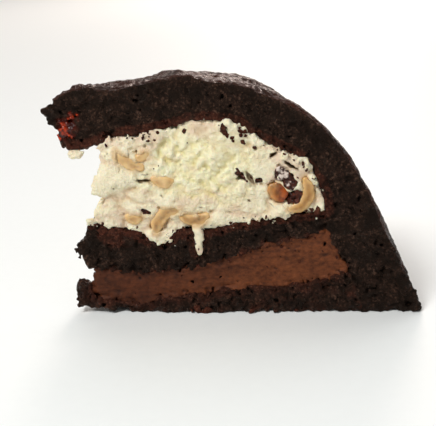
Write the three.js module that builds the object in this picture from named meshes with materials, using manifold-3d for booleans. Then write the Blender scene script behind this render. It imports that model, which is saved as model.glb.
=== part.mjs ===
// One slice of a chocolate dome cake, in millimetres, +Z up.
//
// The dome is a sponge lining filled with cream, a sponge disc, chocolate mousse and a sponge base, and
// the slice is a sixteenth of it. +X runs from the tip of the slice to the rim of the dome, and -Y out of
// the first cut face. Every layer is laid out in the dome's own polar frame: r from the dome's axis, z
// from the underside up and an angle from the first cut face. Then it is set down with the origin under the
// middle of the slice.
import * as THREE from "three";
import Module from "manifold-3d";

const wasm = await Module();
wasm.setup();

// Driving dimensions
const CAKE_RADIUS = 130;
const CAKE_HEIGHT = 81.5;
const PORTIONS = 16;
const PORTION_ANGLE = (2 * Math.PI) / PORTIONS;
const LAYER_GAP = 0.4;

// Where the dome's axis and the first cut face lie in the slice's frame
const AXIS_X = -68.2;
const FRONT_Y = -23.8;

// The dome's outer line: a cosine of the cubed radius, which is flat on top and steep at the foot
const DOME_POWER = 3;
const TIP_RADIUS = 9.6;
const TIP_SAG = { slump: 2.6, from: 30, to: 50, droop: 5, reach: 4.5 };
const SWELLS = [
  { radius: 54, width: 7, height: 1.3 },
  { radius: 118, width: 5.5, height: -2.4 },
];

// Shallow hollows in the crust, which begin a little behind the first cut face
const HOLLOWS = [
  { radius: 56, width: 9, depth: 1.3 },
  { radius: 93, width: 10, depth: 2.2 },
];
const HOLLOWS_BEGIN = { from: 0.02, to: 0.4 };

// Thickness of the sponge lining, by the share of the way from the tip to the foot
const LINING_THICKNESS = [
  [0, 15.3],
  [0.07, 18.5],
  [0.13, 15.7],
  [0.24, 15.7],
  [0.37, 12.2],
  [0.47, 15.2],
  [0.56, 13],
  [0.66, 12.7],
  [0.78, 17.4],
  [0.88, 17.4],
  [1, 19.6],
];
const LINING_TURNS_LEVEL_AT = 0.8;

// The torn end of the lining at the tip, as [r, z] from its underside to its crust
const TORN_TIP = [
  [10.6, 59.2],
  [10.9, 61.8],
  [11.8, 64.4],
  [7.2, 67],
  [8.8, 69.6],
  [6.4, 72.2],
  [9.6, 74.2],
];
const TEAR_COLUMNS = 3;

// Heights of the seams between the layers, as [r, z]
const CREAM_ON_DISC = [
  [13, 34.5],
  [19, 33.4],
  [24, 32],
  [30, 30.8],
  [36, 29.4],
  [40, 26.4],
  [44, 26.2],
  [48, 29.4],
  [58, 30.2],
  [70, 32.4],
  [78, 34],
  [86, 34.4],
  [101, 36.4],
];
const DISC_ON_MOUSSE = [
  [13, 18],
  [18, 16.4],
  [28, 15.8],
  [38, 15.6],
  [49, 16.6],
  [61, 18.7],
  [76, 23.6],
  [89, 27.3],
  [98, 29.6],
  [110, 31],
];
const MOUSSE_ON_BASE = [
  [13, 5.6],
  [24, 4.6],
  [34, 3.2],
  [42, 5.4],
  [55, 7.4],
  [69, 9.1],
  [89, 10.5],
  [96, 11.9],
  [103, 14.6],
  [116, 18],
];

// The broken left ends of the layers: their radius at even steps from the bottom of the layer to its top
const CREAM_END = [19.6, 21.2, 24.6, 21.9, 21.4, 24.6, 24.4, 23.7, 23.6];
const DISC_END = [18, 13, 14.3, 17.8, 19.3];
const MOUSSE_END = [18.6, 18, 17.6, 18.2, 18.8];
const BASE_END = [15, 16.5, 17.5];
const TIP_LIFT = { height: 5.2, from: 36, to: 12, power: 1.5 };

// Spacing of the solid's facets
const COLUMN_PITCH = 3;
const LINING_COLUMNS = 46;
const LINING_TURNS = 8;
const LAYER_TURNS = 5;
const NARROWEST_CELL = 0.8;
const CUTTER_MARGIN = 6;
const RUNS_INTO_LINING = 2.5;

// Roughness of the surfaces: how far they stand out, and over what distance they vary
const CRUST_RELIEF = [
  { depth: 0.7, size: 13 },
  { depth: 0.4, size: 6 },
];
const SPONGE_CUT = [
  { depth: 0.5, size: 9 },
  { depth: 0.7, size: 3 },
];
const CREAM_CUT = [
  { depth: 1.3, size: 8 },
  { depth: 0.6, size: 4 },
];
const MOUSSE_CUT = [{ depth: 0.25, size: 5 }];
const SEAM_RELIEF = [{ depth: 0.7, size: 5 }];
const BREAK_RELIEF = { depth: 1, size: 6 };
const QUIET_EDGE = { crust: 0.4, width: 0.25 };
const SMOOTH_FOOT = { from: 0.9, cut: 0.3 };
const CREAM_STANDS_OUT = 0.6;
const MOUSSE_STANDS_BACK = 0.3;
const SEAM_ROUGH_WITHIN = 0.18;

// Candied peel in the cream: turn is 0 in the first cut face and 1 in the second, and the arc has its centre
// at r, z and runs between two angles in degrees
const PEEL = { ends: 0.35, fullness: 0.6, stepDegrees: 22 };
const PEELS = [
  { turn: 0, r: 48.5, z: 30.4, radius: 6.9, from: 78, to: 188, width: 3.4, depth: 7 },
  { turn: 0, r: 54.6, z: 39.2, radius: 5.6, from: 220, to: 322, width: 3.2, depth: 6 },
  { turn: 0, r: 38.5, z: 61.5, radius: 9.2, from: 203, to: 268, width: 3.2, depth: 5 },
  { turn: 0, r: 36.8, z: 60.6, radius: 5, from: 268, to: 325, width: 2.2, depth: 4 },
  { turn: 0, r: 45.2, z: 53, radius: 6, from: 232, to: 296, width: 3, depth: 5 },
  { turn: 0, r: 33.8, z: 40.5, radius: 6, from: 250, to: 305, width: 2.6, depth: 4 },
  { turn: 0, r: 88, z: 47, radius: 6.6, from: 190, to: 238, width: 5, depth: 8, ends: 0.6 },
  { turn: 0, r: 86.6, z: 43.4, radius: 6, from: -96, to: 44, width: 2.8, depth: 9 },
  { turn: 1, r: 46, z: 44, radius: 6.5, from: 20, to: 140, width: 3, depth: 7 },
  { turn: 1, r: 76, z: 47, radius: 6, from: 200, to: 320, width: 3.2, depth: 7 },
  { turn: 1, r: 63, z: 52, radius: 7, from: 60, to: 130, width: 2.8, depth: 7 },
];

// Broken chocolate in the cream
const CHOCOLATE = { depth: 5, corner: 0.8, uneven: 0.28 };
const CHOCOLATES = [
  { turn: 0, r: 38.6, z: 37.2, long: 4.8, high: 2.1, tilt: -28, seed: 3 },
  { turn: 0, r: 84.9, z: 48.3, long: 8.6, high: 3.8, tilt: -42, seed: 5 },
  { turn: 0, r: 88, z: 41.3, long: 4.4, high: 2.9, tilt: 34, seed: 7 },
  { turn: 0, r: 70.4, z: 49, long: 4.6, high: 2.3, tilt: -50, seed: 9 },
  { turn: 0, r: 76, z: 47.4, long: 3.8, high: 2.1, tilt: 20, seed: 13 },
  { turn: 1, r: 57, z: 41, long: 6, high: 3, tilt: 30, seed: 15 },
  { turn: 1, r: 86, z: 50, long: 5, high: 3.4, tilt: -30, seed: 17 },
];
const PIECES_STAND_OUT = 1.2;

// Cream outside the filling, and the crumb at the tip
const SMEAR = { from: 14.4, to: 26, toTurn: 0.55, thickness: 1.1, steps: 8 };
const SMEAR_DRIP = { r: 16.6, width: 1.6, depth: 2.2 };
const DRAG = { r: 55.6, top: 33, bottom: 22.2, steps: 4 };
const DRAG_SECTION = { width: 2.6, taper: 0.7, wander: 0.3, root: -1.5, offFace: 1.25, thickness: 1 };
const CRUMB = { r: 15.4, wide: 3.6, bottom: 3.2, top: 10.4, from: 0.06, to: 0.8, corner: 0.78, uneven: 0.2 };

const COLOURS = {
  sponge: 0x2f2019,
  cream: 0xe4dab4,
  mousse: 0x5d3a29,
  peel: 0xc69350,
  chocolate: 0x2a1712,
};

// Small tools

const mix = (a, b, t) => a + (b - a) * t;

function smoothStep(from, to, x) {
  const t = Math.min(1, Math.max(0, (x - from) / (to - from)));
  return t * t * (3 - 2 * t);
}

// A repeatable number from -1 to 1 for each corner of a grid of unit cubes
function cornerValue(i, j, k, seed) {
  let h = Math.imul(i, 374761393) ^ Math.imul(j, 668265263);
  h ^= Math.imul(k, 1440662683) ^ Math.imul(seed, 362437);
  h = Math.imul(h ^ (h >>> 13), 1274126177);
  h = Math.imul(h ^ (h >>> 15), 2246822519);
  return ((h ^ (h >>> 16)) >>> 0) / 2147483648 - 1;
}

// Smooth noise from -1 to 1 that varies over the given size
function noise(x, y, z, size, seed) {
  const at = [x / size, y / size, z / size];
  const cell = at.map(Math.floor);
  const [u, v, w] = at.map((c, n) => smoothStep(0, 1, c - cell[n]));
  const corner = (a, b, c) => cornerValue(cell[0] + a, cell[1] + b, cell[2] + c, seed);
  const edge = (b, c) => mix(corner(0, b, c), corner(1, b, c), u);
  return mix(mix(edge(0, 0), edge(1, 0), v), mix(edge(0, 1), edge(1, 1), v), w);
}

// The sum of the noises that a list of reliefs describes, at a point
function reliefAt(reliefs, x, y, z, seed) {
  return reliefs.reduce(
    (sum, relief, n) => sum + relief.depth * noise(x, y, z, relief.size, seed + n),
    0,
  );
}

// A smooth function through [x, y] knots, level beyond its ends
function lineThrough(knots) {
  const slope = (n) => {
    const [a, b] = [knots[Math.max(0, n - 1)], knots[Math.min(knots.length - 1, n + 1)]];
    return (b[1] - a[1]) / (b[0] - a[0]);
  };
  return (x) => {
    if (x <= knots[0][0]) return knots[0][1];
    const next = knots.findIndex((knot) => knot[0] > x);
    if (next < 0) return knots[knots.length - 1][1];
    const [[x0, y0], [x1, y1]] = [knots[next - 1], knots[next]];
    const width = x1 - x0;
    const t = (x - x0) / width;
    const blend = t * t * (3 - 2 * t);
    const lean = t * (1 - t) * ((1 - t) * slope(next - 1) - t * slope(next)) * width;
    return mix(y0, y1, blend) + lean;
  };
}

// Solids

// A closed six-sided block with cells[0] x cells[1] x cells[2] cells, whose grid points are moved by place
function block(cells, place) {
  const numbers = new Map();
  const points = [];
  const point = (i, j, k) => {
    const key = (i * 1000 + j) * 1000 + k;
    if (!numbers.has(key)) {
      numbers.set(key, numbers.size);
      points.push(...place(i, j, k));
    }
    return numbers.get(key);
  };
  const faces = [];
  const side = (across, up, fixed, level, outward) => {
    for (let a = 0; a < cells[across]; a++)
      for (let b = 0; b < cells[up]; b++) {
        const corner = (da, db) => {
          const index = [];
          index[across] = a + da;
          index[up] = b + db;
          index[fixed] = level;
          return point(...index);
        };
        const [p, q, s, t] = [corner(0, 0), corner(1, 0), corner(1, 1), corner(0, 1)];
        if (outward) faces.push(p, q, s, p, s, t);
        else faces.push(p, s, q, p, t, s);
      }
  };
  for (const [across, up, fixed] of [
    [0, 1, 2],
    [1, 2, 0],
    [2, 0, 1],
  ]) {
    side(across, up, fixed, 0, false);
    side(across, up, fixed, cells[fixed], true);
  }
  const geometry = new THREE.BufferGeometry();
  geometry.setAttribute("position", new THREE.Float32BufferAttribute(points, 3));
  geometry.setIndex(faces);
  return faceOut(geometry);
}

// Turns the triangles of a closed geometry round where they face in
function faceOut(geometry) {
  const index = geometry.index.array;
  const corners = [new THREE.Vector3(), new THREE.Vector3(), new THREE.Vector3()];
  let volume = 0;
  for (let n = 0; n < index.length; n += 3) {
    corners.forEach((corner, c) => corner.fromBufferAttribute(geometry.attributes.position, index[n + c]));
    volume += corners[0].dot(corners[1].cross(corners[2]));
  }
  if (volume < 0) index.reverse();
  return geometry;
}

function toSolid(geometry) {
  return new wasm.Manifold(
    new wasm.Mesh({
      numProp: 3,
      vertProperties: new Float32Array(geometry.attributes.position.array),
      triVerts: new Uint32Array(geometry.index.array),
    }),
  );
}

// The largest body of a solid as a geometry, without the scraps that a cut can leave
function toGeometry(solid) {
  const bodies = solid.decompose().sort((a, b) => b.volume() - a.volume());
  const mesh = bodies[0].getMesh();
  const geometry = new THREE.BufferGeometry();
  geometry.setAttribute("position", new THREE.BufferAttribute(mesh.vertProperties, 3));
  geometry.setIndex(new THREE.BufferAttribute(mesh.triVerts, 1));
  return geometry;
}

// A point of the slice from the dome's polar frame, moved out of a cut face by standOut where it lies in one
function polar(r, z, turn, standOut = 0) {
  const angle = turn * PORTION_ANGLE;
  let x = r * Math.cos(angle);
  let y = r * Math.sin(angle);
  if (turn === 0) y -= standOut;
  if (turn === 1) {
    x -= standOut * Math.sin(PORTION_ANGLE);
    y += standOut * Math.cos(PORTION_ANGLE);
  }
  return [AXIS_X + x, FRONT_Y + y, z];
}

// How far a broken end lies from the axis at a turn: it is broken straight across, and a little unevenly
// behind the first cut face
function brokenAt(r, turn, along) {
  const uneven = BREAK_RELIEF.depth * (1 + noise(turn * 20, along, 0, BREAK_RELIEF.size, 61));
  return (r + uneven * Math.min(1, 3 * turn)) / Math.cos(turn * PORTION_ANGLE);
}

// The dome's lines

function domeHeight(r) {
  const dome = CAKE_HEIGHT * Math.cos((Math.PI / 2) * (r / CAKE_RADIUS) ** DOME_POWER);
  const slump = TIP_SAG.slump * (1 - smoothStep(TIP_SAG.from, TIP_SAG.to, r));
  const droop = TIP_SAG.droop * Math.exp(-(r - TIP_RADIUS) / TIP_SAG.reach);
  const swell = SWELLS.reduce((sum, s) => sum + s.height * Math.exp(-(((r - s.radius) / s.width) ** 2)), 0);
  return dome - slump - droop + swell;
}

// How far the crust is sunk behind the first cut face
function hollowAt(r, turn) {
  const sunk = HOLLOWS.reduce((sum, h) => sum + h.depth * Math.exp(-(((r - h.radius) / h.width) ** 2)), 0);
  return sunk * smoothStep(HOLLOWS_BEGIN.from, HOLLOWS_BEGIN.to, turn);
}

// Even steps along the crust, each with its point, its outward normal and the lining's thickness
function liningSections() {
  const steps = 300;
  const crust = [];
  for (let n = 0; n <= steps; n++) {
    const r = mix(TIP_RADIUS, CAKE_RADIUS, 1 - (1 - n / steps) ** 2);
    crust.push(new THREE.Vector2(r, Math.max(0, domeHeight(r))));
  }
  const curve = new THREE.SplineCurve(crust);
  const thickness = lineThrough(LINING_THICKNESS);
  const sections = [];
  for (let n = 0; n <= LINING_COLUMNS; n++) {
    const share = n / LINING_COLUMNS;
    const outer = curve.getPointAt(share);
    const tangent = curve.getTangentAt(share);
    const level = smoothStep(LINING_TURNS_LEVEL_AT, 1, share);
    const normal = new THREE.Vector2(mix(-tangent.y, 1, level), mix(tangent.x, 0, level)).normalize();
    const inner = outer.clone().addScaledVector(normal, -thickness(share));
    sections.push({ share, outer, inner, normal });
  }
  return sections;
}

const sections = liningSections();

// How much of the tear at the tip a column of the lining takes
const tearShare = (column) => Math.max(0, 1 - column / TEAR_COLUMNS);

// The sponge lining of the dome, from the torn tip to the foot that it stands on. The cutter is the same
// solid with its inner side let out by a gap and its other sides well past the slice.
function liningBlock(cutter = false) {
  const rows = TORN_TIP.length - 1;
  const gap = cutter ? LAYER_GAP : 0;
  const beyond = cutter ? CUTTER_MARGIN : 0;
  const tip = sections[0];
  return block([LINING_COLUMNS, rows, LINING_TURNS], (i, j, k) => {
    const { share, outer, inner, normal } = sections[i];
    const turn = k / LINING_TURNS;
    const across = j / rows;
    const tear = tearShare(i);
    const [tearR, tearZ] = TORN_TIP[j];
    let r = mix(inner.x, outer.x, across);
    let z = mix(inner.y, outer.y, across);
    r += tear * (brokenAt(tearR, turn, tearZ) - mix(tip.inner.x, tip.outer.x, across));
    z += tear * (tearZ - mix(tip.inner.y, tip.outer.y, across));
    const [x, y] = polar(r, z, turn);
    const rough = 1 - smoothStep(SMOOTH_FOOT.from, 1, share);
    if (j === rows) {
      const loud = rough * mix(QUIET_EDGE.crust, 1, smoothStep(0, QUIET_EDGE.width, turn));
      const bump = reliefAt(CRUST_RELIEF, x, y, z, 11) * loud - hollowAt(r, turn) + beyond;
      r += bump * normal.x;
      z += bump * normal.y;
    }
    if (j === 0) {
      r -= gap * normal.x;
      z -= gap * normal.y;
    }
    if (i === LINING_COLUMNS) z = -beyond;
    const cut = reliefAt(SPONGE_CUT, x, y, z, 23) * mix(SMOOTH_FOOT.cut, 1, rough);
    return polar(r, z, turn, cutter ? beyond : cut);
  });
}

// The lining's inner line with its torn end, and its height over a radius
const innerLine = sections.map(({ inner }, i) => {
  const [tornR, tornZ] = TORN_TIP[0];
  const tip = sections[0].inner;
  return [inner.x + tearShare(i) * (tornR - tip.x), inner.y + tearShare(i) * (tornZ - tip.y)];
});

function ceiling(r) {
  const past = innerLine.findIndex((point) => point[0] > r);
  if (past < 1) return innerLine[0][1];
  const [[r0, z0], [r1, z1]] = [innerLine[past - 1], innerLine[past]];
  return mix(z0, z1, (r - r0) / (r1 - r0));
}

// Layers

// The radii of a layer's inner columns, which all the layers share
function columnsBetween(from, to) {
  const columns = [];
  const first = Math.ceil((from + NARROWEST_CELL) / COLUMN_PITCH) * COLUMN_PITCH;
  for (let r = first; r < to; r += COLUMN_PITCH) columns.push(r);
  return columns;
}

// A seam's height over the slice: its line at each column plus a roughness that shows at the cut faces
function seamOver(knots, seed) {
  const line = lineThrough(knots);
  const atColumn = (r, turn) => {
    const [x, y] = polar(r, 0, turn);
    const edge = Math.max(0, 1 - Math.min(turn, 1 - turn) / SEAM_ROUGH_WITHIN);
    return line(r) + edge * reliefAt(SEAM_RELIEF, x, y, 0, seed);
  };
  return (r, turn) => {
    const column = Math.floor(r / COLUMN_PITCH) * COLUMN_PITCH;
    const t = (r - column) / COLUMN_PITCH;
    return mix(atColumn(column, turn), atColumn(column + COLUMN_PITCH, turn), t);
  };
}

const seams = {
  cream: seamOver(CREAM_ON_DISC, 31),
  disc: seamOver(DISC_ON_MOUSSE, 41),
  mousse: seamOver(MOUSSE_ON_BASE, 51),
};

// A layer between two heights, with a broken end near the tip and an end run on into the lining
function layerBlock({ bottom, top, end, farRadius, relief, standOut = 0, seed }) {
  const rows = end.length - 1;
  const columns = columnsBetween(brokenAt(Math.max(...end), 1, 0) + BREAK_RELIEF.depth, farRadius);
  return block([columns.length + 1, rows, LAYER_TURNS], (i, j, k) => {
    const turn = k / LAYER_TURNS;
    const radii = [brokenAt(end[j], turn, seed + 4 * j), ...columns, farRadius];
    const r = radii[i];
    const z = mix(bottom(r, turn), top(r, turn), j / rows);
    const [x, y] = polar(r, z, turn);
    return polar(r, z, turn, standOut + reliefAt(relief, x, y, z, seed));
  });
}

// How far the underside of the slice is lifted near the tip
function underside(r) {
  const share = Math.min(1, Math.max(0, (TIP_LIFT.from - r) / (TIP_LIFT.from - TIP_LIFT.to)));
  return TIP_LIFT.height * share ** TIP_LIFT.power;
}

const above = (seam) => (r, turn) => seam(r, turn) + LAYER_GAP / 2;
const below = (seam) => (r, turn) => seam(r, turn) - LAYER_GAP / 2;

const creamBlock = () =>
  layerBlock({
    bottom: above(seams.cream),
    top: (r, turn) => Math.max(ceiling(r), seams.cream(r, turn)) + RUNS_INTO_LINING,
    end: CREAM_END,
    farRadius: 100,
    relief: CREAM_CUT,
    standOut: CREAM_STANDS_OUT,
    seed: 101,
  });

const discBlock = () =>
  layerBlock({
    bottom: above(seams.disc),
    top: below(seams.cream),
    end: DISC_END,
    farRadius: 104,
    relief: SPONGE_CUT,
    seed: 111,
  });

const mousseBlock = () =>
  layerBlock({
    bottom: above(seams.mousse),
    top: below(seams.disc),
    end: MOUSSE_END,
    farRadius: 110,
    relief: MOUSSE_CUT,
    standOut: -MOUSSE_STANDS_BACK,
    seed: 121,
  });

const baseBlock = () =>
  layerBlock({
    bottom: underside,
    top: below(seams.mousse),
    end: BASE_END,
    farRadius: 116,
    relief: SPONGE_CUT,
    seed: 131,
  });

// Pieces in the cream

// Where the grid points of a piece go in a cut face: k = 0 is its inner end, and k = 1 its outer end, which
// stands a little out of the face, or well out of it for the pocket that the piece sits in
function inFace(turn, depth, grow) {
  const ends = [-depth - grow, PIECES_STAND_OUT + (grow > 0 ? CUTTER_MARGIN : 0)];
  return (r, z, k) => polar(r, z, turn, ends[k]);
}

// A curl of candied peel along an arc in a cut face, thickest in its middle
function peelCurl({ turn, r, z, radius, from, to, width, depth, ends = PEEL.ends }, grow = 0) {
  const face = inFace(turn, depth, grow);
  const steps = Math.max(4, Math.round(Math.abs(to - from) / PEEL.stepDegrees));
  const longer = (Math.sign(to - from) * grow) / radius;
  return block([steps, 2, 1], (i, j, k) => {
    const t = i / steps;
    const angle = THREE.MathUtils.degToRad(mix(from, to, t)) + longer * (2 * t - 1);
    const full = ends + (1 - ends) * Math.sin(Math.PI * t) ** PEEL.fullness;
    const out = radius + (j - 1) * ((width / 2) * full + grow);
    return face(r + out * Math.cos(angle), z + out * Math.sin(angle), k);
  });
}

// A broken piece of chocolate, long and high in a cut face and turned by tilt
function chocolateChunk({ turn, r, z, long, high, tilt, seed }, grow = 0) {
  const face = inFace(turn, CHOCOLATE.depth, grow);
  const tilted = THREE.MathUtils.degToRad(tilt);
  return block([2, 2, 1], (i, j, k) => {
    const corner = i !== 1 && j !== 1 ? CHOCOLATE.corner : 1;
    const uneven = corner * (1 + CHOCOLATE.uneven * cornerValue(i, j, k, seed));
    const a = (i - 1) * ((long / 2) * uneven + grow);
    const b = (j - 1) * ((high / 2) * uneven + grow);
    const right = a * Math.cos(tilted) - b * Math.sin(tilted);
    const up = a * Math.sin(tilted) + b * Math.cos(tilted);
    return face(r + right, z + up, k);
  });
}

// Cream outside the filling

// What is left on the underside of the lining past the end of the filling, with a drip near its far end
function smearBlock() {
  return block([SMEAR.steps, 1, 2], (i, j, k) => {
    const r = mix(SMEAR.from, SMEAR.to, i / SMEAR.steps);
    const drip = SMEAR_DRIP.depth * Math.exp(-(((r - SMEAR_DRIP.r) / SMEAR_DRIP.width) ** 2)) * (1 - k / 3);
    const z = ceiling(r) + (j === 1 ? RUNS_INTO_LINING : -SMEAR.thickness - drip);
    return polar(r, z, (SMEAR.toTurn * k) / 2, CREAM_STANDS_OUT);
  });
}

// A run that the knife dragged down over the disc, with its root in the filling
function dragBlock() {
  const { width, taper, wander, root, offFace, thickness } = DRAG_SECTION;
  return block([1, DRAG.steps, 1], (i, j, k) => {
    const down = 1 - j / DRAG.steps;
    const r = DRAG.r + (i - 0.5) * width * mix(1, taper, down) + wander * cornerValue(i, j, 1, 5);
    const inner = j === DRAG.steps ? root : offFace;
    return polar(r, mix(DRAG.top, DRAG.bottom, down), 0, k === 0 ? inner : offFace + thickness);
  });
}

// A crumb of the base that stands at the tip, beside the end of the mousse
function crumbBlock() {
  return block([2, 3, 2], (i, j, k) => {
    const corner = i !== 1 && k !== 1 ? CRUMB.corner : 1;
    const uneven = corner * (1 + CRUMB.uneven * cornerValue(i, j, k, 91));
    const r = CRUMB.r + (i - 1) * (CRUMB.wide / 2) * uneven;
    return polar(r, mix(CRUMB.bottom, CRUMB.top, j / 3), mix(CRUMB.from, CRUMB.to, k / 2));
  });
}

// The slice

const slice = new THREE.Group();

function serve(name, geometry, colour, roughness) {
  const material = new THREE.MeshStandardMaterial({ color: colour, roughness, metalness: 0 });
  const mesh = new THREE.Mesh(geometry, material);
  mesh.name = name;
  slice.add(mesh);
}

const liningCutter = toSolid(liningBlock(true));
const fitted = (geometry) => toSolid(geometry).subtract(liningCutter);

let cream = fitted(creamBlock()).add(fitted(smearBlock())).add(toSolid(dragBlock()));
PEELS.forEach((peel, n) => {
  serve(`peel_${n + 1}`, peelCurl(peel), COLOURS.peel, 0.35);
  cream = cream.subtract(toSolid(peelCurl(peel, LAYER_GAP)));
});
CHOCOLATES.forEach((chunk, n) => {
  serve(`chocolate_${n + 1}`, chocolateChunk(chunk), COLOURS.chocolate, 0.4);
  cream = cream.subtract(toSolid(chocolateChunk(chunk, LAYER_GAP)));
});
const base = fitted(baseBlock()).add(toSolid(crumbBlock()));

serve("sponge_lining", liningBlock(), COLOURS.sponge, 0.85);
serve("cream_filling", toGeometry(cream), COLOURS.cream, 0.5);
serve("sponge_disc", toGeometry(fitted(discBlock())), COLOURS.sponge, 0.9);
serve("chocolate_mousse", toGeometry(fitted(mousseBlock())), COLOURS.mousse, 0.6);
serve("sponge_base", toGeometry(base), COLOURS.sponge, 0.9);

export default slice;
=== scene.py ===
import math

import bmesh
import bpy
import numpy as np
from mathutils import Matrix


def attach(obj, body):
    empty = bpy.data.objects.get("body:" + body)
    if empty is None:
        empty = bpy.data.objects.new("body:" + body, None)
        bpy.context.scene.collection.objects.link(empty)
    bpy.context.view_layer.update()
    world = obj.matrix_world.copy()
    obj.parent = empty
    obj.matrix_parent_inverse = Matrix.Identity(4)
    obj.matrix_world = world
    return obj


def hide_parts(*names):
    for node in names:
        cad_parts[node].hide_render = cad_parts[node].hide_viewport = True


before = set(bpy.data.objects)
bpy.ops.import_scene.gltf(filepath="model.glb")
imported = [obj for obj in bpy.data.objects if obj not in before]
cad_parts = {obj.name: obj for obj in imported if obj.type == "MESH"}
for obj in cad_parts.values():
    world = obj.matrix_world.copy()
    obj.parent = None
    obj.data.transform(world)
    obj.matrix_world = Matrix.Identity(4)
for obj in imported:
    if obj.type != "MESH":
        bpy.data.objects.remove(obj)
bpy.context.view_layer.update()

import openvdb as vdb
from mathutils import Euler, Matrix, Vector

MM = 0.001

# The slice's polar frame, in millimetres: the dome's axis, the first cut face and the slice's angle
AXIS_X = -68.2
FRONT_Y = -23.8
SLICE_ANGLE = math.radians(22.5)

# Radius and height of the middle that the dome's skin is rounded about
DOME_MIDDLE = (50.0, -20.0)

# Heights between which the dome's skin comes in, above its crumbled foot
BARE_FOOT = (12.0, 26.0)

# Width of a grid cell in the layers and in the pieces, how many cells of distance a solid keeps on both
# sides of its surface, and how much room its grid has round it
CELL = 0.42
FINE_CELL = 0.25
BAND_CELLS = 8
MARGIN = 4.0

# How far from its surface the distances of a layer, of the cream and of a piece in it are worked on
LAYER_REACH = 2.4
CREAM_REACH = 2.8
PIECE_REACH = 2.0

# Depths behind a cut face over which its torn surface gives way to the plain one between two layers
SHOWS_TO = (2.5, 5.0)

# Radius up to which the broken tip lies open, and radius from which the foot of the dome is crumbled
OPEN_TIP = 27.0
CRUMBLED_FROM = 112.0

# How far the cream laps over what is beside it, how far the other layers grow to close a seam, and over
# what distances from the neighbour that growth fades
OVERLAP = 0.3
SEAM_GROWTH = 0.6
SEAM = (0.4, 1.6)

# Areas in square millimetres of the smallest loose shell of a food and of syrup that are kept, so that bits
# of foam are dropped
SMALLEST_SHELL = 50
SMALLEST_DROP = 2

# The seed of the lining's unevenness, and what is added to a layer's seed for its syrup
LINING_SEED = 11
SYRUP_SEED = 8

# Widths over which the edges of each food, and the dome's outline, are rounded
SPONGE_ROUND = 0.5
SKIN_ROUND = 1.3
CREAM_ROUND = 0.6
MOUSSE_ROUND = 0.7
PEEL_ROUND = 0.45
CHOCOLATE_ROUND = 0.3

# How freely the flat places of a layer's and of a piece's mesh are merged, from 0 to 1
LAYER_MERGED = 0.02
PIECE_MERGED = 0.01

# Numbers along each side of a table of random numbers, a power of two
TABLE = 64

# Turns of the grids that noise is drawn on, so that none lies along a cut face
ASKEW = np.array(Euler((0.6, 0.5, 0.8)).to_matrix(), np.float32)
TURNED_LEVEL = np.array(Euler((0, 0, 0.6)).to_matrix(), np.float32)


# Numbers

def smooth_step(low, high, value):
    share = np.clip((value - low) / (high - low), 0, 1)
    return share * share * (3 - 2 * share)


def mixed(table, offsets, share):
    """A table's values at the eight corners of cells, mixed by the place in the cell"""
    sides = [(1 - part, part) for part in share]
    total = np.zeros(len(share[0]), np.float32)
    for a, b, c in np.ndindex(2, 2, 2):
        weight = sides[0][a] * sides[1][b] * sides[2][c]
        total += weight * table[offsets[0][a] + offsets[1][b] + offsets[2][c]]
    return total


def wrapped(cell):
    """The offsets of a cell's corners in a table of random numbers, which repeats"""
    strides = (TABLE * TABLE, TABLE, 1)
    return [
        ((cell[n] & (TABLE - 1)) * strides[n], ((cell[n] + 1) & (TABLE - 1)) * strides[n]) for n in range(3)
    ]


def noise(points, size, seed):
    """Smooth noise from -1 to 1 at the points, which varies over size, one length or three"""
    table = np.random.RandomState(seed).uniform(-1, 1, TABLE ** 3).astype(np.float32)
    turned = points @ (TURNED_LEVEL if np.ndim(size) else ASKEW)
    scaled = (turned / np.asarray(size, np.float32)).T
    cell = np.floor(scaled).astype(np.int32)
    share = scaled - cell
    return mixed(table, wrapped(cell), (share * share * (3 - 2 * share)).astype(np.float32))


def ridges(points, size, seed):
    """Noise from 0 to 1 with sharp crests"""
    return 1 - np.abs(noise(points, size, seed))


def holes(points, spacing, smallest, largest, seed, share=1.0):
    """How deep the points lie in scattered round holes, one in that share of the cells of a coarse grid"""
    draw = np.random.RandomState(seed)
    centres = draw.uniform(0, 1, (3, TABLE ** 3)).astype(np.float32)
    radii = draw.uniform(smallest, largest, TABLE ** 3).astype(np.float32)
    radii[draw.uniform(0, 1, TABLE ** 3) > share] = -spacing
    scaled = (points / spacing).astype(np.float32).T
    first = np.floor(scaled - 0.5).astype(np.int32)
    offsets = wrapped(first)
    within = scaled - first
    deepest = np.full(len(points), -spacing, np.float32)
    for corner in np.ndindex(2, 2, 2):
        place = sum(offsets[n][corner[n]] for n in range(3))
        away = sum((within[n] - corner[n] - centres[n][place]) ** 2 for n in range(3))
        deepest = np.maximum(deepest, radii[place] - spacing * np.sqrt(away))
    return deepest


def radius_of(points):
    return np.hypot(points[:, 0] - AXIS_X, points[:, 1] - FRONT_Y)


def behind_cut(points):
    """How far the points lie behind the nearer cut face"""
    across = points[:, 0] - AXIS_X
    behind = points[:, 1] - FRONT_Y
    from_second = across * math.sin(SLICE_ANGLE) - behind * math.cos(SLICE_ANGLE)
    return np.minimum(behind, from_second)


def deeper(points, depth):
    """The points moved straight in from the nearer cut face"""
    across = points[:, 0] - AXIS_X
    behind = points[:, 1] - FRONT_Y
    first = behind < across * math.sin(SLICE_ANGLE) - behind * math.cos(SLICE_ANGLE)
    moved = points.copy()
    moved[first, 1] += depth
    moved[~first, 0] += depth * math.sin(SLICE_ANGLE)
    moved[~first, 1] -= depth * math.cos(SLICE_ANGLE)
    return moved


def showing(points):
    """1 at the cut faces, the broken tip and the foot, and 0 well inside the slice"""
    inside = np.minimum(behind_cut(points), radius_of(points) - OPEN_TIP)
    inside = np.minimum(inside, CRUMBLED_FROM - radius_of(points))
    return 1 - smooth_step(*SHOWS_TO, inside)


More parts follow.
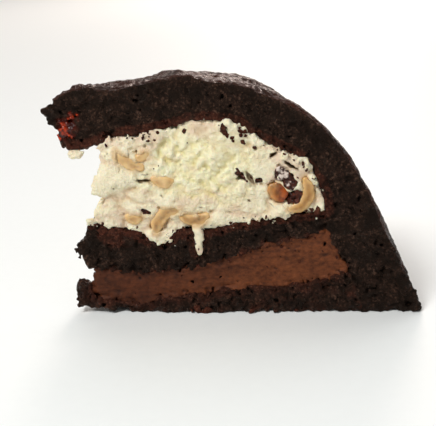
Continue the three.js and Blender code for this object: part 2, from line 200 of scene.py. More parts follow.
def from_middle(points):
    """The directions straight out through the dome's skin"""
    radius = radius_of(points)
    along = (points[:, :2] - (AXIS_X, FRONT_Y)) / np.maximum(radius, 1)[:, None]
    out = radius - DOME_MIDDLE[0]
    up = points[:, 2] - DOME_MIDDLE[1]
    rise = np.column_stack([along * out[:, None], up])
    return (rise / np.hypot(out, up)[:, None]).astype(np.float32)


def facing_out(points, normals):
    """1 where a surface is the outside of the dome, and 0 on cut faces and undersides"""
    return smooth_step(0.5, 0.75, (normals * from_middle(points)).sum(axis=1))


def skinned_at(points, normals):
    """1 where the dome keeps its skin, which has crumbled away near its foot"""
    ragged = 9 * noise(points, 11, 91) + 7 * noise(points, 4, 92)
    return facing_out(points, normals) * smooth_step(*BARE_FOOT, points[:, 2] + ragged)


# Solids as grids of signed distances

class Field:
    """Signed distances in millimetres, below 0 inside, on a grid whose first point has the index low"""

    def __init__(self, low, values, cell):
        self.low = np.array(low)
        self.values = values
        self.cell = cell

    def near(self, reach):
        """Flat indices and places of the grid points within reach of the surface"""
        index = np.flatnonzero(np.abs(self.values) < reach)
        steps = np.stack(np.unravel_index(index, self.values.shape), axis=1)
        return index, ((steps + self.low) * self.cell).astype(np.float32)

    def at(self, points):
        """The distances at any points, between the grid points"""
        size = np.array(self.values.shape)
        scaled = np.clip(points / self.cell - self.low, 0, size - 1.001).T
        cell = np.floor(scaled).astype(np.int32)
        strides = (size[1] * size[2], size[2], 1)
        offsets = [(cell[n] * strides[n], (cell[n] + 1) * strides[n]) for n in range(3)]
        return mixed(self.values.ravel(), offsets, (scaled - cell).astype(np.float32))

    def normals(self, points):
        """The outward directions at the points"""
        step = self.cell * np.eye(3, dtype=np.float32)
        slopes = np.stack([self.at(points + s) - self.at(points - s) for s in step], axis=1)
        return slopes / np.maximum(np.linalg.norm(slopes, axis=1), 1e-6)[:, None]

    def smoothed(self, width):
        """The field blurred over a width in millimetres"""
        reach = math.ceil(2.2 * width / self.cell)
        steps = np.arange(-reach, reach + 1)
        weights = np.exp(-0.5 * (steps * self.cell / width) ** 2)
        weights /= weights.sum()
        values = self.values
        for axis in range(3):
            pad = [(reach, reach) if a == axis else (0, 0) for a in range(3)]
            padded = np.pad(values, pad, mode="edge")
            length = values.shape[axis]
            cuts = [np.take(padded, range(n, n + length), axis=axis) for n in range(2 * reach + 1)]
            values = sum(w * cut for w, cut in zip(weights.astype(np.float32), cuts))
        return Field(self.low, values, self.cell)


def nearest(fields, points):
    """The distances from the points to the nearest of several fields"""
    return np.min([field.at(points) for field in fields], axis=0)


def read(items, name, width, kind):
    values = np.empty(len(items) * width, kind)
    items.foreach_get(name, values)
    return values.reshape(-1, width)


def packed_solid(node, cell):
    """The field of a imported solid"""
    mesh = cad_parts[node].data
    mesh.calc_loop_triangles()
    points = read(mesh.vertices, "co", 3, np.float32) / MM
    corners = read(mesh.loop_triangles, "vertices", 3, np.int32).astype(np.uint32)
    grid = vdb.FloatGrid.createLevelSetFromPolygons(
        points,
        triangles=corners,
        transform=vdb.createLinearTransform(voxelSize=cell),
        halfWidth=BAND_CELLS,
    )
    low = np.floor((points.min(axis=0) - MARGIN) / cell).astype(int)
    high = np.ceil((points.max(axis=0) + MARGIN) / cell).astype(int)
    values = np.empty(high - low + 1, np.float32)
    grid.copyToArray(values, ijk=tuple(int(n) for n in low))
    return Field(low, values, cell)


def large_shells(count, faces, fewest):
    """Which of the points belong to a connected shell of that many points or more"""
    label = np.arange(count)
    edges = [(faces[:, n], faces[:, (n + 1) % 4]) for n in range(4)]
    start = np.concatenate([a for a, b in edges])
    end = np.concatenate([b for a, b in edges])
    while True:
        least = np.minimum(label[start], label[end])
        after = label.copy()
        np.minimum.at(after, start, least)
        np.minimum.at(after, end, least)
        after = after[after]
        if (after == label).all():
            break
        label = after
    return np.bincount(label)[label] >= fewest


def surface(field, adaptivity, smallest=SMALLEST_SHELL):
    """Points in millimetres and faces of four corners, a triangle's last two alike, of a field's surface"""
    grid = vdb.FloatGrid(float(BAND_CELLS * field.cell))
    grid.transform = vdb.createLinearTransform(voxelSize=field.cell)
    grid.gridClass = "level set"
    grid.copyFromArray(np.ascontiguousarray(field.values), ijk=tuple(int(n) for n in field.low))
    points, triangles, quads = grid.convertToPolygons(isovalue=0.0, adaptivity=adaptivity)
    faces = np.concatenate([triangles[:, [0, 1, 2, 2]], quads]).astype(np.int64)
    kept = large_shells(len(points), faces, smallest / field.cell ** 2)
    faces = faces[kept[faces[:, 0]]]
    numbers = np.cumsum(kept) - 1
    points = points[kept]
    faces = numbers[faces]
    a, b, c = (points[faces[:, n]] for n in range(3))
    if (a * np.cross(b, c)).sum() < 0:
        faces = faces[:, ::-1]
    return points, faces


def corners_of(face):
    """A face's corners: three where two of its four are alike"""
    if face[2] == face[3]:
        return face[:3]
    if face[0] == face[1]:
        return face[1:]
    return face


def make_object(name, points, faces, materials, attributes=()):
    """A smooth mesh object from points in millimetres"""
    mesh = bpy.data.meshes.new(name)
    mesh.from_pydata((points * MM).tolist(), [], [corners_of(face) for face in faces.tolist()])
    mesh.shade_smooth()
    for made in materials:
        mesh.materials.append(made)
    for key, values in dict(attributes).items():
        mesh.attributes.new(key, "FLOAT", "POINT").data.foreach_set("value", values.astype(np.float32))
    thing = bpy.data.objects.new(name, mesh)
    bpy.context.scene.collection.objects.link(thing)
    return thing


def dress(thing, slot, *nodes):
    """The object moves with the slice and stands for the nodes; the slot is not used"""
    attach(thing, "root")
    if nodes:
        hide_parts(*nodes)


# Materials

def linear(colour):
    """An sRGB hex colour as linear red, green, blue and alpha"""
    parts = [(colour >> shift & 255) / 255 for shift in (16, 8, 0)]
    return (*[c / 12.92 if c <= 0.04045 else ((c + 0.055) / 1.055) ** 2.4 for c in parts], 1.0)


def per_metre(millimetres):
    """A texture's scale for features of that size"""
    return 1 / (millimetres * MM)


def new_material(name):
    made = bpy.data.materials.new(name)
    made.use_nodes = True
    made.node_tree.nodes.clear()
    return made, made.node_tree


def add(tree, kind, inputs=(), **settings):
    """A node with its settings, and its inputs as values or as links from other nodes' outputs

    The inputs 0, 6 and 7 of a Mix node are its share and its two colours, and output 2 is the mixed colour.
    """
    made = tree.nodes.new("ShaderNode" + kind)
    for key, value in settings.items():
        setattr(made, key, value)
    for key, value in dict(inputs).items():
        if isinstance(value, bpy.types.NodeSocket):
            tree.links.new(value, made.inputs[key])
        else:
            made.inputs[key].default_value = value
    return made


def sponge_material():
    """Dark chocolate sponge, baked with cocoa and torn by the knife: a dull open crumb with moist glints,
    painted near-black shade in its hollows and pores, and lighter specks that are partly painted glints
    """
    made, tree = new_material("chocolate_sponge")
    place = add(tree, "TexCoord").outputs["Object"]
    hollow, wet, syrup = (
        add(tree, "Attribute", attribute_name=mark).outputs["Fac"] for mark in ("hollow", "moist", "syrup")
    )
    patches = add(tree, "TexNoise", {"Vector": place, "Scale": per_metre(4.5), "Detail": 4.0})
    fine_texture = add(
        tree, "TexNoise", {"Vector": place, "Scale": per_metre(0.9), "Detail": 5.0, "Roughness": 0.75}
    )
    open_crumb = add(tree, "MapRange", {"Value": hollow, "From Min": -0.4, "From Max": 0.35})
    specks_and_glints = add(tree, "MapRange", {"Value": fine_texture.outputs["Fac"], "From Min": 0.53, "From Max": 0.64})
    patch = add(tree, "MapRange", {"Value": patches.outputs["Fac"], "From Min": 0.38, "From Max": 0.62})
    baked = add(
        tree, "Mix", {0: patch.outputs[0], 6: linear(0x0F0704), 7: linear(0x24150F)}, data_type="RGBA"
    ).outputs[2]
    # Painted shade: near black where the crumb lies in a hollow or in a dip of its fine texture, as pores
    # in shade do
    pricked = add(tree, "MapRange", {"Value": fine_texture.outputs["Fac"], "From Min": 0.34, "From Max": 0.47})
    crumb = add(
        tree, "Math", {0: open_crumb.outputs[0], 1: pricked.outputs[0]}, operation="MULTIPLY"
    ).outputs[0]
    dry = add(tree, "Mix", {0: crumb, 6: linear(0x050201), 7: baked}, data_type="RGBA").outputs[2]
    # Lighter specks on the high places of the fine texture: partly lighter crumb, partly painted glints
    light = add(
        tree, "Math", {0: specks_and_glints.outputs[0], 1: patch.outputs[0]}, operation="MULTIPLY"
    ).outputs[0]
    with_fine_specks = add(tree, "Mix", {0: light, 6: dry, 7: linear(0x5E4538)}, data_type="RGBA").outputs[2]
    # The moist stain's colour, with the same painted near-black shade in hollows and pores
    hollow_shaded = add(
        tree, "Mix", {0: crumb, 6: linear(0x140603), 7: linear(0x482016)}, data_type="RGBA"
    ).outputs[2]
    # The moist stain with the same lighter specks, partly painted glints
    reddish = add(
        tree, "Mix", {0: specks_and_glints.outputs[0], 6: hollow_shaded, 7: linear(0x70402E)}, data_type="RGBA"
    ).outputs[2]
    damped = add(tree, "Mix", {0: wet, 6: with_fine_specks, 7: reddish}, data_type="RGBA").outputs[2]
    colour = add(tree, "Mix", {0: syrup, 6: damped, 7: linear(0x5A1206)}, data_type="RGBA").outputs[2]
    glints = add(tree, "TexNoise", {"Vector": place, "Scale": per_metre(1.3), "Detail": 3.0})
    gloss = add(
        tree,
        "MapRange",
        {"Value": glints.outputs["Fac"], "From Min": 0.53, "From Max": 0.58, "To Min": 0.85, "To Max": 0.1},
    )
    bump = add(tree, "Bump", {"Height": fine_texture.outputs["Fac"], "Strength": 1.0, "Distance": 1.1 * MM})
    finish = {
        "Base Color": colour,
        "Roughness": gloss.outputs[0],
        "Normal": bump.outputs[0],
        "IOR": 1.45,
        "Specular IOR Level": 0.32,
        "Specular Tint": linear(0xFFDEC8),
    }
    shader = add(tree, "BsdfPrincipled", finish)
    add(tree, "OutputMaterial", {"Surface": shader.outputs[0]})
    return made


def skin_material():
    """The dome's baked skin, wet with syrup: thin, dark and wrinkled, and bright where a wrinkle turns"""
    made, tree = new_material("damp_cake_skin")
    place = add(tree, "TexCoord").outputs["Object"]
    wrinkles = add(
        tree,
        "TexNoise",
        {"Vector": place, "Scale": per_metre(2.4), "Detail": 4.0, "Roughness": 0.6, "Distortion": 1.2},
    )
    patches = add(tree, "TexNoise", {"Vector": place, "Scale": per_metre(9), "Detail": 3.0})
    tone = add(tree, "MapRange", {"Value": patches.outputs["Fac"], "From Min": 0.35, "From Max": 0.65})
    colour = add(
        tree, "Mix", {0: tone.outputs[0], 6: linear(0x180A06), 7: linear(0x3E1E14)}, data_type="RGBA"
    ).outputs[2]
    gloss = add(
        tree,
        "MapRange",
        {"Value": wrinkles.outputs["Fac"], "From Min": 0.4, "From Max": 0.6, "To Min": 0.6, "To Max": 0.16},
    )
    bump = add(tree, "Bump", {"Height": wrinkles.outputs["Fac"], "Strength": 1.0, "Distance": 2.6 * MM})
    finish = {
        "Base Color": colour,
        "Roughness": gloss.outputs[0],
        "Normal": bump.outputs[0],
        "IOR": 1.45,
        "Specular IOR Level": 0.5,
        "Specular Tint": linear(0xFFD2C0),
    }
    shader = add(tree, "BsdfPrincipled", finish)
    add(tree, "OutputMaterial", {"Surface": shader.outputs[0]})
    return made


def syrup_material():
    """Red fruit syrup boiled thick: clear, wet and dark red, with a painted orange glow where it lies thick
    """
    made, tree = new_material("fruit_syrup")
    place = add(tree, "TexCoord").outputs["Object"]
    glow = add(tree, "Attribute", attribute_name="glow").outputs["Fac"]
    ripples = add(tree, "TexNoise", {"Vector": place, "Scale": per_metre(1.2), "Detail": 3.0})
    tone = add(tree, "Math", {0: glow, 1: ripples.outputs["Fac"]}, operation="MULTIPLY")
    # Painted glow: bright orange where the syrup lies thick and its ripples rise, dark red elsewhere
    bright = add(tree, "MapRange", {"Value": tone.outputs[0], "From Min": 0.36, "From Max": 0.62})
    colour = add(
        tree, "Mix", {0: bright.outputs[0], 6: linear(0x340803), 7: linear(0xBE3A0E)}, data_type="RGBA"
    ).outputs[2]
    bump = add(tree, "Bump", {"Height": ripples.outputs["Fac"], "Strength": 0.8, "Distance": 0.5 * MM})
    finish = {
        "Base Color": colour,
        "Roughness": 0.16,
        "Normal": bump.outputs[0],
        "IOR": 1.46,
        "Specular IOR Level": 0.35,
        "Subsurface Weight": 0.15,
        "Subsurface Radius": (1.0, 0.25, 0.08),
        "Subsurface Scale": 1.0 * MM,
    }
    shader = add(tree, "BsdfPrincipled", finish)
    add(tree, "OutputMaterial", {"Surface": shader.outputs[0]})
    return made


def cream_material():
    """Whipped cream with curd, torn by the knife: soft light inside it, and painted yellow or tan shade in
    its creases
    """
    made, tree = new_material("whipped_cream")
    place = add(tree, "TexCoord").outputs["Object"]
    hollow, candied, pit, buttery, rosy_and_fold_shade = (
        add(tree, "Attribute", attribute_name=mark).outputs["Fac"]
        for mark in ("hollow", "candied", "pit", "buttery", "rosy_and_fold_shade")
    )
    fine = add(
        tree, "TexNoise", {"Vector": place, "Scale": per_metre(1.0), "Detail": 5.0, "Roughness": 0.6}
    )
    body = add(
        tree, "Mix", {0: buttery, 6: linear(0xF4EACB), 7: linear(0xF8F1CC)}, data_type="RGBA"
    ).outputs[2]
    # Pink smears, and pink painted shade in the creases of the broad folds
    blush_and_fold_shade = add(tree, "Mix", {0: rosy_and_fold_shade, 6: body, 7: linear(0xE4C8AE)}, data_type="RGBA").outputs[2]
    # Painted shade in the creases: yellow in the buttery middle, tan elsewhere
    shade = add(
        tree, "Mix", {0: buttery, 6: linear(0xCFB48A), 7: linear(0xE4D592)}, data_type="RGBA"
    ).outputs[2]
    crease = add(tree, "MapRange", {"Value": hollow, "From Min": 0.0, "From Max": -0.5, "To Max": 0.8})
    creased = add(tree, "Mix", {0: crease.outputs[0], 6: blush_and_fold_shade, 7: shade}, data_type="RGBA").outputs[2]
    # Painted shade: darker tan in the dips of the fine bump
    curd = add(tree, "MapRange", {"Value": fine.outputs["Fac"], "From Min": 0.42, "From Max": 0.3})
    fine_texture = add(tree, "Math", {0: curd.outputs[0], 1: 0.4}, operation="MULTIPLY").outputs[0]
    with_fine_specks = add(tree, "Mix", {0: fine_texture, 6: creased, 7: linear(0xD8C59A)}, data_type="RGBA").outputs[2]
    warm = add(tree, "Mix", {0: candied, 6: with_fine_specks, 7: linear(0xD5AC74)}, data_type="RGBA").outputs[2]
    # Painted shade: olive brown in the pits, darker in deep ones
    colour = add(tree, "Mix", {0: pit, 6: warm, 7: linear(0x6A5030)}, data_type="RGBA").outputs[2]
    bump = add(tree, "Bump", {"Height": fine.outputs["Fac"], "Strength": 1.0, "Distance": 1.0 * MM})
    finish = {
        "Base Color": colour,
        "Roughness": 0.45,
        "Normal": bump.outputs[0],
        "IOR": 1.42,
        "Specular IOR Level": 0.35,
        "Subsurface Weight": 0.25,
        "Subsurface Radius": (1.0, 0.7, 0.4),
        "Subsurface Scale": 1.0 * MM,
    }
    shader = add(tree, "BsdfPrincipled", finish)
    add(tree, "OutputMaterial", {"Surface": shader.outputs[0]})
    return made


def mousse_material():
    """Chocolate mousse drawn smooth by the knife: satin, with fine level streaks, pricked with pits, and
    painted near-black shade in its pits and hollows
    """
    made, tree = new_material("chocolate_mousse")
    place = add(tree, "TexCoord").outputs["Object"]
    hollow, pale = (
        add(tree, "Attribute", attribute_name=mark).outputs["Fac"] for mark in ("hollow", "pale")
    )
    level = add(tree, "Mapping", {"Vector": place, "Scale": (0.6, 0.6, 1.0)}).outputs[0]
    streaks = add(
        tree, "TexNoise", {"Vector": level, "Scale": per_metre(1.2), "Detail": 5.0, "Roughness": 0.75}
    ).outputs["Fac"]
    patches = add(tree, "TexNoise", {"Vector": level, "Scale": per_metre(7), "Detail": 3.0}).outputs["Fac"]
    both = add(tree, "Math", {0: patches, 1: 0.5, 2: -0.25}, operation="MULTIPLY_ADD").outputs[0]
    uneven = add(tree, "Math", {0: streaks, 1: both}, operation="ADD").outputs[0]
    tone = add(tree, "MapRange", {"Value": uneven, "From Min": 0.26, "From Max": 0.74}).outputs[0]
    dark = add(
        tree, "Mix", {0: tone, 6: linear(0x281006), 7: linear(0x5F3018)}, data_type="RGBA"
    ).outputs[2]
    bright = add(
        tree, "Mix", {0: tone, 6: linear(0x38190A), 7: linear(0x794223)}, data_type="RGBA"
    ).outputs[2]
    body = add(tree, "Mix", {0: pale, 6: dark, 7: bright}, data_type="RGBA").outputs[2]
    # Painted shade: near black in the mousse's pits and hollows
    pit = add(tree, "MapRange", {"Value": hollow, "From Min": -0.02, "From Max": -0.25, "To Max": 0.95})
    colour = add(
        tree, "Mix", {0: pit.outputs[0], 6: body, 7: linear(0x180A06)}, data_type="RGBA"
    ).outputs[2]
    bump = add(tree, "Bump", {"Height": streaks, "Strength": 0.9, "Distance": 0.4 * MM})
    finish = {
        "Base Color": colour,
        "Roughness": 0.55,
        "Normal": bump.outputs[0],
        "IOR": 1.45,
        "Specular IOR Level": 0.2,
        "Subsurface Weight": 0.08,
        "Subsurface Radius": (1.0, 0.45, 0.25),
        "Subsurface Scale": 0.8 * MM,
    }
    shader = add(tree, "BsdfPrincipled", finish)
    add(tree, "OutputMaterial", {"Surface": shader.outputs[0]})
    return made


def peel_material():
    """Candied orange peel, cooked in sugar: golden flesh, a paler rind, and a film of cream over both"""
    made, tree = new_material("candied_peel")
    place = add(tree, "TexCoord").outputs["Object"]
    film, ripe, edge = (
        add(tree, "Attribute", attribute_name=mark).outputs["Fac"] for mark in ("film", "ripe", "edge")
    )
    mottle = add(tree, "TexNoise", {"Vector": place, "Scale": per_metre(2.0), "Detail": 4.0})
    tone = add(tree, "MapRange", {"Value": mottle.outputs["Fac"], "From Min": 0.35, "From Max": 0.65})
    flesh = add(
        tree, "Mix", {0: tone.outputs[0], 6: linear(0x7A5026), 7: linear(0xAA7C44)}, data_type="RGBA"
    ).outputs[2]
    rind = add(tree, "Mix", {0: edge, 6: flesh, 7: linear(0xC69C62)}, data_type="RGBA").outputs[2]
    cooked = add(
        tree, "Mix", {0: tone.outputs[0], 6: linear(0x5C1A04), 7: linear(0xA85014)}, data_type="RGBA"
    ).outputs[2]
    amber = add(tree, "Mix", {0: ripe, 6: rind, 7: cooked}, data_type="RGBA").outputs[2]
    colour = add(tree, "Mix", {0: film, 6: amber, 7: linear(0xE2C18C)}, data_type="RGBA").outputs[2]
    bump = add(tree, "Bump", {"Height": mottle.outputs["Fac"], "Strength": 0.5, "Distance": 0.4 * MM})
    finish = {
        "Base Color": colour,
        "Roughness": 0.3,
        "Normal": bump.outputs[0],
        "IOR": 1.46,
        "Specular IOR Level": 0.4,
        "Subsurface Weight": 0.35,
        "Subsurface Radius": (1.0, 0.55, 0.2),
        "Subsurface Scale": 1.2 * MM,
    }
    shader = add(tree, "BsdfPrincipled", finish)
    add(tree, "OutputMaterial", {"Surface": shader.outputs[0]})
    return made


def chocolate_material():
    """Broken dark chocolate: a satin, grainy brown break with cream caught on it"""
    made, tree = new_material("dark_chocolate")
    place = add(tree, "TexCoord").outputs["Object"]
    speckled = add(tree, "Attribute", attribute_name="speckled").outputs["Fac"]
    breaks = add(tree, "TexNoise", {"Vector": place, "Scale": per_metre(0.8), "Detail": 4.0})
    tone = add(tree, "MapRange", {"Value": breaks.outputs["Fac"], "From Min": 0.4, "From Max": 0.65})
    broken = add(
        tree, "Mix", {0: tone.outputs[0], 6: linear(0x260D07), 7: linear(0x582819)}, data_type="RGBA"
    ).outputs[2]
    colour = add(tree, "Mix", {0: speckled, 6: broken, 7: linear(0xD8C8BC)}, data_type="RGBA").outputs[2]
    bump = add(tree, "Bump", {"Height": breaks.outputs["Fac"], "Strength": 1.0, "Distance": 0.4 * MM})
    finish = {
        "Base Color": colour,
        "Roughness": 0.35,
        "Normal": bump.outputs[0],
        "IOR": 1.5,
        "Specular IOR Level": 0.2,
    }
    shader = add(tree, "BsdfPrincipled", finish)
    add(tree, "OutputMaterial", {"Surface": shader.outputs[0]})
    return made


# The camera, the floor and the light

def place_camera():
    """The photograph's viewing angle: a little to the left of the cut face and looking down on it"""
    place = Vector((18.95, -305.5, 129.3)) * MM
    focal_pixels = 900
    image_width = 436
    lens = bpy.data.cameras.new("view")
    lens.sensor_width = 36
    lens.lens = focal_pixels / image_width * lens.sensor_width
    lens.clip_start = 0.01
    camera = bpy.data.objects.new("view", lens)
    turned, pitched, rolled = (math.radians(a) for a in (5.0, 90 - 18.25, -2.32))
    camera.matrix_world = (
        Matrix.Translation(place)
        @ Matrix.Rotation(turned, 4, "Z")
        @ Matrix.Rotation(pitched, 4, "X")
        @ Matrix.Rotation(rolled, 4, "Z")
    )
    bpy.context.scene.collection.objects.link(camera)
    bpy.context.scene.camera = camera


def softbox(name, place, target, size, watts, colour=0xFFFFFF):
    """A square area light, all in metres, that faces the target"""
    light = bpy.data.lights.new(name, "AREA")
    light.size = size
    light.energy = watts
    light.color = linear(colour)[:3]
    box = bpy.data.objects.new(name, light)
    box.location = place
    box.rotation_euler = (Vector(target) - Vector(place)).to_track_quat("-Z", "Y").to_euler()
    bpy.context.scene.collection.objects.link(box)


def light_studio():
    middle = (0, 0, 0.04)
    softbox("key", (-0.6, -0.75, 1.05), middle, 0.45, 16)
    softbox("fill", (0.9, -0.8, 0.4), middle, 0.9, 1.2)
    softbox("top", (0.0, 1.2, 2.3), middle, 1.8, 19)
    softbox("back", (0.1, 1.5, 0.62), middle, 0.45, 8, 0xFFEEE4)
    world = bpy.data.worlds.new("studio")
    world.use_nodes = True
    background = world.node_tree.nodes["Background"]
    background.inputs["Color"].default_value = linear(0xF2F2F0)
    background.inputs["Strength"].default_value = 0.22
    bpy.context.scene.world = world
    bpy.context.scene.view_settings.view_transform = "Standard"


def lay_floor():
    """A pale, matte studio floor"""
    made, tree = new_material("studio_floor")
    place = add(tree, "TexCoord").outputs["Object"]
    fine_texture = add(tree, "TexNoise", {"Vector": place, "Scale": per_metre(4), "Detail": 3.0})
    colour = add(
        tree, "Mix", {0: fine_texture.outputs["Fac"], 6: linear(0xF0F2F0), 7: linear(0xF3F5F3)}, data_type="RGBA"
    ).outputs[2]
    shader = add(tree, "BsdfPrincipled", {"Base Color": colour, "Roughness": 0.6})
    add(tree, "OutputMaterial", {"Surface": shader.outputs[0]})
    half = 3000.0
    corners = np.array([(-half, -half, 0), (half, -half, 0), (half, half, 0), (-half, half, 0)])
    floor = make_object("floor", corners, np.array([[0, 1, 2, 3]]), [made])


# Sponge

# Where the syrup has soaked the broken tip, as radius, height and reach
SYRUP = [(13.8, 65.4, 4.5), (15.4, 69.0, 2.0), (18.2, 69.8, 1.4), (15.8, 62.8, 1.8), (12.2, 62.4, 1.6)]

# Radius and height of the end of the disc that the fillings have soaked, and between what distances from it
# the stain fades
SOAKED_END = (27.0, 31.0)
SOAKED_REACH = (4.0, 8.0)

# Radii between which the broken tip gives way to whole sponge, how far its crumb has swollen, how much more
# it has near the bottom, and the heights between which that ends
BROKEN_TIP = (OPEN_TIP - 8, OPEN_TIP)
TIP_GROWTH = 0.5
BOTTOM_GROWTH = 0.5
BOTTOM_TOP = (7, 10)

# How thick the crumb is that lies packed under the skin, how much less it is torn, and the heights between
# which it comes in
PACKED_CRUMB = 3.0
PACKED_SHARE = 0.6
PACKED_FROM = (20, 30)

# How thick the syrup lies at its thickest, and how deep the crumb under it is soaked
SYRUP_DEPTH = (0.7, 0.9)


def bent(points, reach, size, seed):
    """The points moved by smooth noise, which makes round things uneven"""
    return points + reach * np.stack([noise(points, size, seed + n) for n in range(3)], axis=1)


def crumbled(values, points, seed):
    """A sponge surface torn open: uneven clumps of crumb with creases and pores between them"""
    uneven = 0.6 * noise(points, 5, seed) + 0.4 * noise(points, 2.6, seed + 1)
    clumps = 1.15 * (ridges(bent(points, 0.9, 2, seed + 2), 2.2, seed + 5) - 0.68)
    crumbs = 0.45 * noise(points, 0.95, seed + 6)
    pores = holes(bent(points, 0.8, 1.2, seed + 7), 2.7, 0.2, 1.0, seed + 10, share=0.6)
    return np.maximum(values + uneven + clumps + crumbs, pores)


def wrinkled(values, points, seed):
    """The dome's skin with its wrinkles"""
    broad = 0.2 + 0.45 * noise(points, 7, seed) + 0.35 * noise(points, 3.5, seed + 9)
    folds = 0.7 * (0.7 - ridges(bent(points, 1.2, 2.6, seed + 1), 2.4, seed + 4))
    tight = 0.35 * (0.7 - ridges(bent(points, 0.5, 1.4, seed + 5), 1.2, seed + 8))
    return values + broad + folds + tight


def tear_sponge(field, neighbours, seed, skinned):
    """Wears a sponge layer's open faces and wrinkles its skin, and closes its seams with its neighbours"""
    worn = field.smoothed(SPONGE_ROUND)
    index, points = worn.near(LAYER_REACH)
    values = worn.values.ravel()[index]
    shown = showing(points)
    skin = np.zeros(len(points), np.float32)
    if skinned:
        rounded = field.smoothed(SKIN_ROUND)
        skin = skinned_at(points, rounded.normals(points))
        values = skin * rounded.values.ravel()[index] + (1 - skin) * values
        under_skin = smooth_step(-1.0, 1.0, field.at(points + PACKED_CRUMB * from_middle(points)))
        shown = shown * (1 - PACKED_SHARE * under_skin * smooth_step(*PACKED_FROM, points[:, 2]))
    values = values - SEAM_GROWTH * (1 - smooth_step(*SEAM, nearest(neighbours, points)))
    tip = 1 - smooth_step(*BROKEN_TIP, radius_of(points))
    ragged = 1.3 * (ridges(bent(points, 1.2, 3, seed + 30), 3, seed + 33) - 0.6)
    growth = TIP_GROWTH + BOTTOM_GROWTH * (1 - smooth_step(*BOTTOM_TOP, points[:, 2]))
    values = values - tip * growth + tip * ragged
    torn = shown * crumbled(values, points, seed) + (1 - shown) * values
    values = skin * wrinkled(values, points, seed + 20) + (1 - skin) * torn
    worn.values.ravel()[index] = np.maximum(values, -points[:, 2])
    return worn


def syrup_at(points, seed):
    """How much syrup shows at the points"""
    radius = radius_of(points) + 1.3 * noise(points, 1.6, seed)
    height = points[:, 2] + 1.3 * noise(points, 1.4, seed + 1)
    soaked = [1 - smooth_step(0.2, 1.0, np.hypot(radius - r, height - z) / reach) for r, z, reach in SYRUP]
    return np.max(soaked, axis=0) * (1 - smooth_step(3.0, 6.0, behind_cut(points)))


def moistened(points, cream, mousse, smeared, seed):
    """1 where the fillings have wet a layer of sponge, and 0 further off"""
    uneven = 1.4 * noise(points, 2.8, seed) + 0.8 * noise(points, 1.1, seed + 1)
    by_cream = 1 - smooth_step(0.1, 2.2, cream.at(points) + uneven)
    by_mousse = 1 - smooth_step(0.0, smeared, mousse.at(points) + 1.3 * uneven)
    radius, height = SOAKED_END
    from_end = np.hypot(radius_of(points) - radius, points[:, 2] - height)
    soaked = 1 - smooth_step(*SOAKED_REACH, from_end + 2 * uneven)
    return np.max([0.8 * by_cream, 0.55 * by_mousse, 0.9 * soaked], axis=0)


def sponge_layer(name, node, seed, material, solids, cream, smeared=1.0, skin=None):
    """One sponge layer, wet by the mousse to the distance smeared, and with its skin where it has one"""
    neighbours = [solids[other] for other in solids if other != node]
    field = tear_sponge(solids[node], neighbours, seed, skin is not None)
    points, faces = surface(field, LAYER_MERGED)
    marks = {
        "hollow": field.smoothed(0.9).at(points),
        "moist": moistened(points, cream, solids["chocolate_mousse"], smeared, seed + 12),
        "syrup": syrup_at(points, seed + SYRUP_SEED),
    }
    thing = make_object(name, points, faces, [material] + ([skin] if skin else []), marks)
    if skin:
        middles = points[faces].mean(axis=1)
        outer = skinned_at(middles, field.smoothed(0.8).normals(middles)) > 0.5
        thing.data.polygons.foreach_set("material_index", outer.astype(np.int32))
    dress(thing, "chocolate_sponge", node)
    return field


def syrup_glaze(lining, material):
    """Syrup that has run out of the broken tip, a thin wet layer over the crumb"""
    thick, soaked_in = SYRUP_DEPTH
    index, points = lining.near(LAYER_REACH)
    crumb = lining.values.ravel()[index]
    soaked = syrup_at(points, LINING_SEED + SYRUP_SEED)
    over = (thick + soaked_in) * soaked - soaked_in + 0.35 * noise(points, 1.1, 23) * soaked
    glaze = Field(lining.low, np.full_like(lining.values, BAND_CELLS * CELL), CELL)
    glaze.values.ravel()[index] = np.maximum(crumb - over, -crumb - soaked_in)
    points, faces = surface(glaze, PIECE_MERGED, SMALLEST_DROP)
    # How strongly the syrup's painted glow shows
    glow = syrup_at(points, LINING_SEED + SYRUP_SEED)
    thing = make_object("syrup_glaze", points, faces, [material], {"glow": glow})
    dress(thing, "candied_peel")


# Cream

# Slits and pits in the first cut face of the cream: radius, height, length, width, tilt in degrees, depth
PITS = [
    (38.6, 47.6, 5.0, 0.8, -9, 1.6),
    (39.0, 49.6, 2.6, 0.5, -12, 0.4),
    (28.3, 45.6, 0.9, 0.5, 40, 0.3),
    (44.2, 42.6, 0.5, 1.2, 10, 0.3),
    (43.1, 35.4, 0.8, 1.0, -20, 0.5),
    (50.8, 52.8, 0.6, 1.5, 0, 0.4),
    (73.6, 47.7, 5.4, 1.4, -60, 0.7),
    (80.9, 55.6, 3.0, 1.0, 35, 0.8),
    (86.6, 52.4, 5.6, 0.9, -36, 1.6),
    (79.8, 38.7, 2.0, 0.6, -30, 0.6),
    (66.3, 36.4, 3.0, 0.4, -10, 0.2),
    (26.4, 58.8, 0.6, 0.5, 0, 0.2),
    (27.1, 57.0, 0.6, 0.5, 0, 0.2),
    (26.2, 56.2, 0.5, 0.4, 0, 0.2),
    (56.9, 38.4, 1.5, 0.5, -20, 0.5),
    (59.9, 37.2, 1.1, 0.5, -40, 0.5),
    (72.8, 40.2, 0.7, 0.6, 0, 0.8),
]

# The seed of the pits' ragged rims
PITS_SEED = 227

# How round the cream's lip is where a piece lies in it, how far the cream that is drawn up round a piece
# stays off it, and the depths at which its outline is taken for its pocket, which is open to the cut face
LIP_ROUND = 0.9
PIECE_GAP = 0.1
POCKET_DEPTHS = (0, 1.5, 3)

# How deep the cream covers the edges of a piece in it, and how far it is drawn up round it: barely where
# pieces lie one on another
BEDDED = {
    "": (0.3, 1.8),
    "peel_7": (0.05, 0.3),
    "peel_8": (0.15, 0.5),
    "chocolate_2": (0.0, 0.3),
    "chocolate_3": (0.0, 0.3),
}

